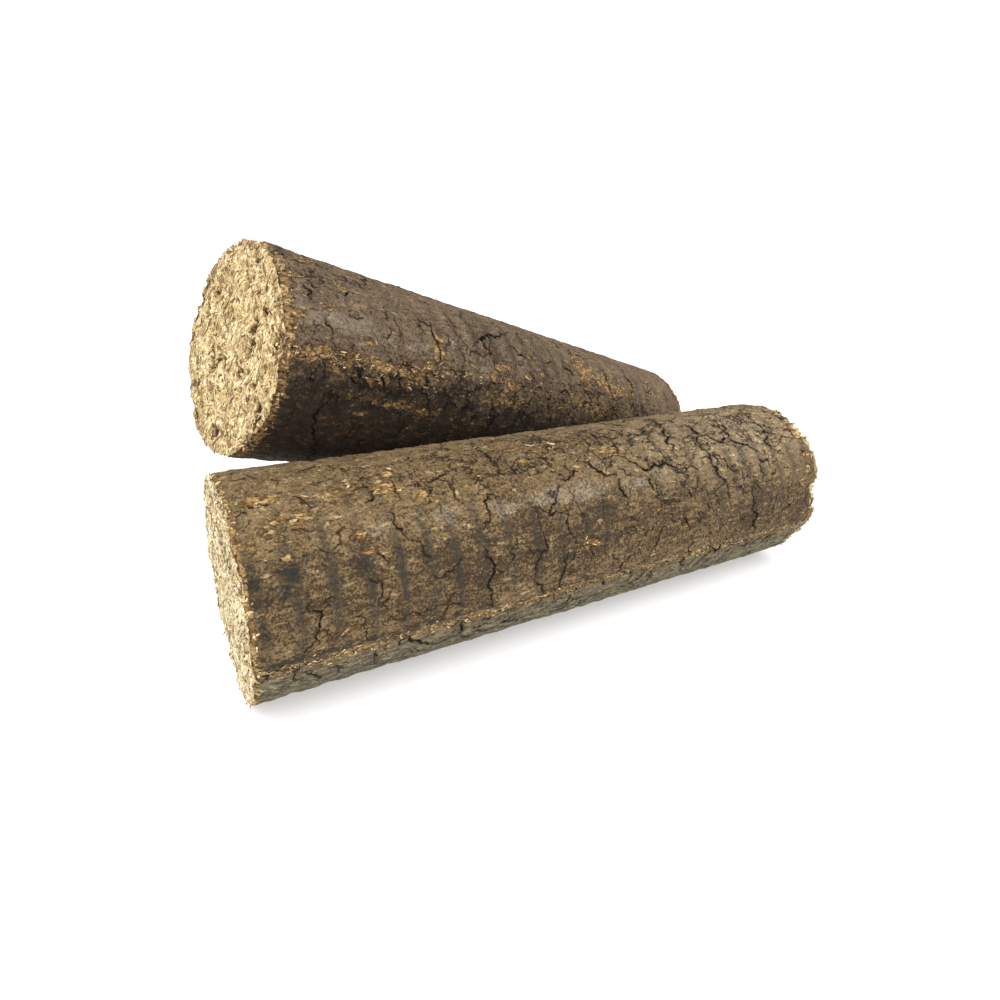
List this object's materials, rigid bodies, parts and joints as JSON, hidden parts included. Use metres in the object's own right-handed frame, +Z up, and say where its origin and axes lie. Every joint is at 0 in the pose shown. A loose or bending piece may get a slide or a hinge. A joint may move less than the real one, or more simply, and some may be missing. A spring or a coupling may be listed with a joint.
{
  "type": "firewood bundle of pressed bark logs",
  "caption": "Loose bundle of round pressed-bark firewood logs that lean on each other on the ground; fuel for a stove, fireplace or fire pit.",
  "frame": {"origin": "on the ground, under the middle of the bundle's bounding box", "axes": "+Z up, +X along the front log from its near end to its far end, -Y the side that the front log is on"},
  "size_m": [0.3172, 0.2018, 0.1672],
  "materials": {
    "front_bark": "pressed bark and sawdust, mid brown, rough and flaking, with glazed grey patches and pale straw ends",
    "rear_bark": "pressed bark and sawdust, dark grey brown, charred below the seam, with pale straw ends"
  },
  "bodies": {
    "root": {"front_log": "front_bark", "rear_log": "rear_bark"}
  },
  "joints": []
}
